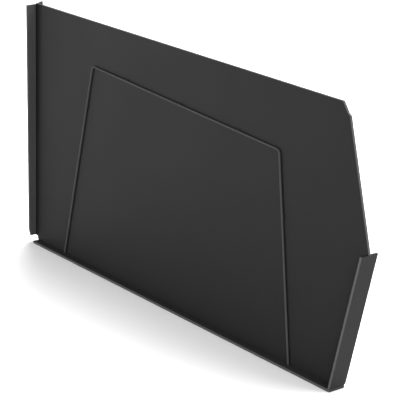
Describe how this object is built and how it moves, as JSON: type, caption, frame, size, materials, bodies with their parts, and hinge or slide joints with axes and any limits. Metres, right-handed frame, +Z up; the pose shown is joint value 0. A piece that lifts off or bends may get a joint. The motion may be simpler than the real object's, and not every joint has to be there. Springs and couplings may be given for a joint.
{
  "type": "fireplace screen",
  "caption": "Low free-standing steel hearth screen: a flat panel with one slanted end, flat bars along its left, bottom and lower right edges, and a bent rod on its front.",
  "frame": {"origin": "on the floor, at the middle of the screen's overall length and depth", "axes": "+X along the base bar towards the slanted end, +Y from the front to the back, +Z up"},
  "size_m": [0.7845, 0.034, 0.406],
  "materials": {
    "panel_coat": "fine matt anthracite powder coat",
    "bar_coat": "fine matt anthracite powder coat",
    "rod_coat": "matt anthracite powder coat over round rod",
    "weld_coat": "matt anthracite powder coat over rippled weld"
  },
  "bodies": {
    "root": {"base_bar": "bar_coat", "base_weld_1": "weld_coat", "base_weld_2": "weld_coat", "base_weld_3": "weld_coat", "base_weld_4": "weld_coat", "base_weld_5": "weld_coat", "base_weld_6": "weld_coat", "left_bar": "bar_coat", "left_weld_1": "weld_coat", "left_weld_2": "weld_coat", "left_weld_3": "weld_coat", "left_weld_4": "weld_coat", "right_bar": "bar_coat", "right_bar_foot_weld": "weld_coat", "right_weld_1": "weld_coat", "right_weld_2": "weld_coat", "right_weld_3": "weld_coat", "rod_tack_1": "weld_coat", "rod_tack_2": "weld_coat", "rod_tack_3": "weld_coat", "rod_tack_4": "weld_coat", "rod_tack_5": "weld_coat", "rod_tack_6": "weld_coat", "rod_tack_7": "weld_coat", "screen_panel": "panel_coat", "wire_frame": "rod_coat"}
  },
  "joints": []
}
